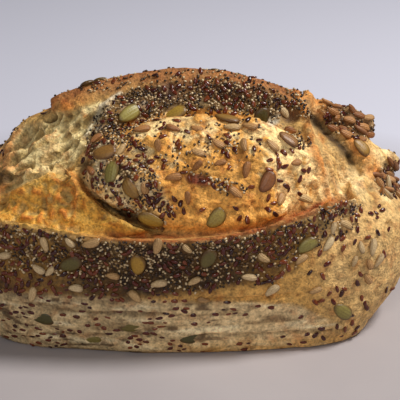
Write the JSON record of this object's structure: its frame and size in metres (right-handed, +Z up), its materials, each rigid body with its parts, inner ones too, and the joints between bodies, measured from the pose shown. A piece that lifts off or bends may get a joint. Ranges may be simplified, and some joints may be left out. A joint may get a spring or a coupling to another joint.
{
  "type": "seeded multigrain loaf",
  "caption": "Oval hearth-baked bread loaf with a burst top, raised crust lips, torn crumb and a coat of mixed seeds; a free-standing food prop.",
  "frame": {"origin": "centre of the loaf's box at its underside, on the surface it rests on", "axes": "+X along the loaf's length towards the rounded right end, -Y towards the front with the long crust lip, +Z up"},
  "size_m": [0.2361, 0.1431, 0.122],
  "materials": {
    "crust": "golden-brown matte baked crust",
    "crumb": "pale matte torn crumb",
    "pumpkin_seed": "olive satin",
    "sunflower_seed": "tan satin",
    "flax_seed": "glossy dark brown",
    "chia_seed": "satin grey, black and cream"
  },
  "bodies": {
    "root": {"loaf": "crust"}
  },
  "joints": []
}
